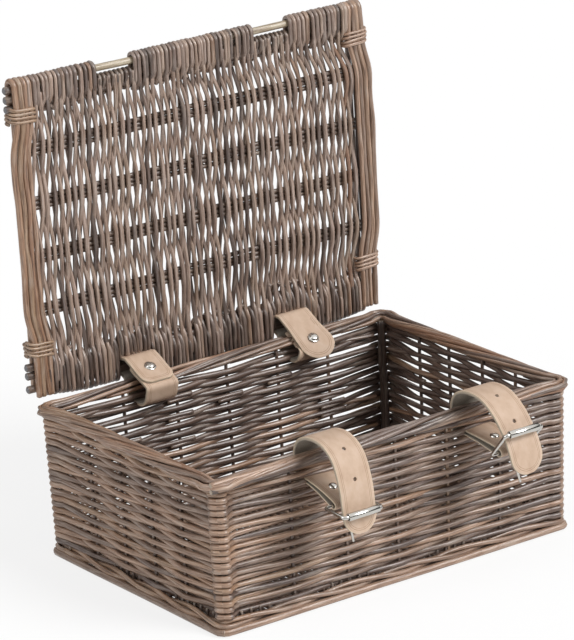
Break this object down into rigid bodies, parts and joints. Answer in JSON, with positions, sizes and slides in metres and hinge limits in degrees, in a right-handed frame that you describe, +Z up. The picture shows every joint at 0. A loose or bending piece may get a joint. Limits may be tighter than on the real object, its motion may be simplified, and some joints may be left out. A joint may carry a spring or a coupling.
{
  "type": "picnic basket",
  "caption": "Rectangular woven willow picnic basket with a hinged flat woven lid standing open, leather hinge loops and leather closing straps with roller buckles.",
  "frame": {"origin": "middle of the flat underside of the base, on the surface the basket stands on", "axes": "+X along the basket's length, -Y towards the front with the straps, +Z up"},
  "size_m": [0.3016, 0.2777, 0.3362],
  "materials": {
    "willow": "smoked willow with bark on, satin",
    "willow_dark": "darker willow sticks, matte",
    "peeled_rod": "peeled willow rod, satin",
    "hide": "pale tan leather with cream edges",
    "nickel": "polished nickel plate"
  },
  "bodies": {
    "basket": {"base_mat": "willow_dark", "base_stick_1": "willow_dark", "base_stick_2": "willow_dark", "base_stick_3": "willow_dark", "front_foot": "willow", "back_foot": "willow", "left_foot": "willow", "right_foot": "willow", "front_wall": "willow", "back_wall": "willow", "left_wall": "willow", "right_wall": "willow", "front_left_corner": "willow", "front_right_corner": "willow", "back_left_corner": "willow", "back_right_corner": "willow", "front_border_and_stakes": "willow", "back_border_and_stakes": "willow", "left_border_and_stakes": "willow", "right_border_and_stakes": "willow", "left_hinge_loop": "hide", "right_hinge_loop": "hide", "left_hinge_rivet": "nickel", "right_hinge_rivet": "nickel", "left_closing_strap": "hide", "right_closing_strap": "hide", "left_buckle_tab": "hide", "right_buckle_tab": "hide", "left_tab_rivet": "nickel", "right_tab_rivet": "nickel"},
    "lid": {"lid_weave": "willow", "lid_front_rod": "peeled_rod", "lid_second_stick": "willow_dark", "lid_hinge_stick_1": "willow_dark", "lid_hinge_stick_2": "willow_dark", "lid_hinge_stick_3": "willow_dark", "lid_stick_1": "willow_dark", "lid_stick_2": "willow_dark", "lid_stick_3": "willow_dark", "lid_stick_4": "willow_dark", "lid_left_rod_1": "willow", "lid_left_rod_2": "willow", "lid_left_rod_3": "willow", "lid_right_rod_1": "willow", "lid_right_rod_2": "willow", "lid_right_rod_3": "willow", "lid_front_wrap_left": "willow", "lid_front_wrap_middle": "willow", "lid_front_wrap_right": "willow", "lid_hinge_left_binding": "willow", "lid_hinge_right_binding": "willow", "lid_front_left_binding": "willow", "lid_front_right_binding": "willow"},
    "left_buckle": {"left_buckle_frame": "nickel"},
    "right_buckle": {"right_buckle_frame": "nickel"},
    "left_roller": {"left_buckle_roller": "nickel"},
    "right_roller": {"right_buckle_roller": "nickel"},
    "left_prong": {"left_buckle_prong": "nickel"},
    "right_prong": {"right_buckle_prong": "nickel"}
  },
  "joints": [
    {"name": "lid_hinge", "type": "hinge", "parent": "basket", "child": "lid", "pos_m": [0, 0.1105, 0.1125], "axis": [1, 0, 0], "range_deg": [0, 90.7], "deforming": ["left_hinge_loop", "right_hinge_loop", "left_hinge_rivet", "right_hinge_rivet", "left_closing_strap", "right_closing_strap"]},
    {"name": "left_buckle_swing", "type": "hinge", "parent": "basket", "child": "left_buckle", "pos_m": [-0.0595, -0.126, 0.0795], "axis": [-1, 0, 0], "range_deg": [-15, 30]},
    {"name": "right_buckle_swing", "type": "hinge", "parent": "basket", "child": "right_buckle", "pos_m": [0.074, -0.133, 0.084], "axis": [-1, 0, 0], "range_deg": [-60, 8]},
    {"name": "left_roller_turn", "type": "hinge", "parent": "left_buckle", "child": "left_roller", "pos_m": [-0.0595, -0.1481, 0.0785], "axis": [1, 0, 0], "continuous": true},
    {"name": "right_roller_turn", "type": "hinge", "parent": "right_buckle", "child": "right_roller", "pos_m": [0.074, -0.1501, 0.1024], "axis": [1, 0, 0], "continuous": true},
    {"name": "left_prong_swing", "type": "hinge", "parent": "basket", "child": "left_prong", "pos_m": [-0.0595, -0.126, 0.0795], "axis": [1, 0, 0], "range_deg": [-30, 50]},
    {"name": "right_prong_swing", "type": "hinge", "parent": "basket", "child": "right_prong", "pos_m": [0.074, -0.133, 0.084], "axis": [1, 0, 0], "range_deg": [-30, 40]}
  ]
}
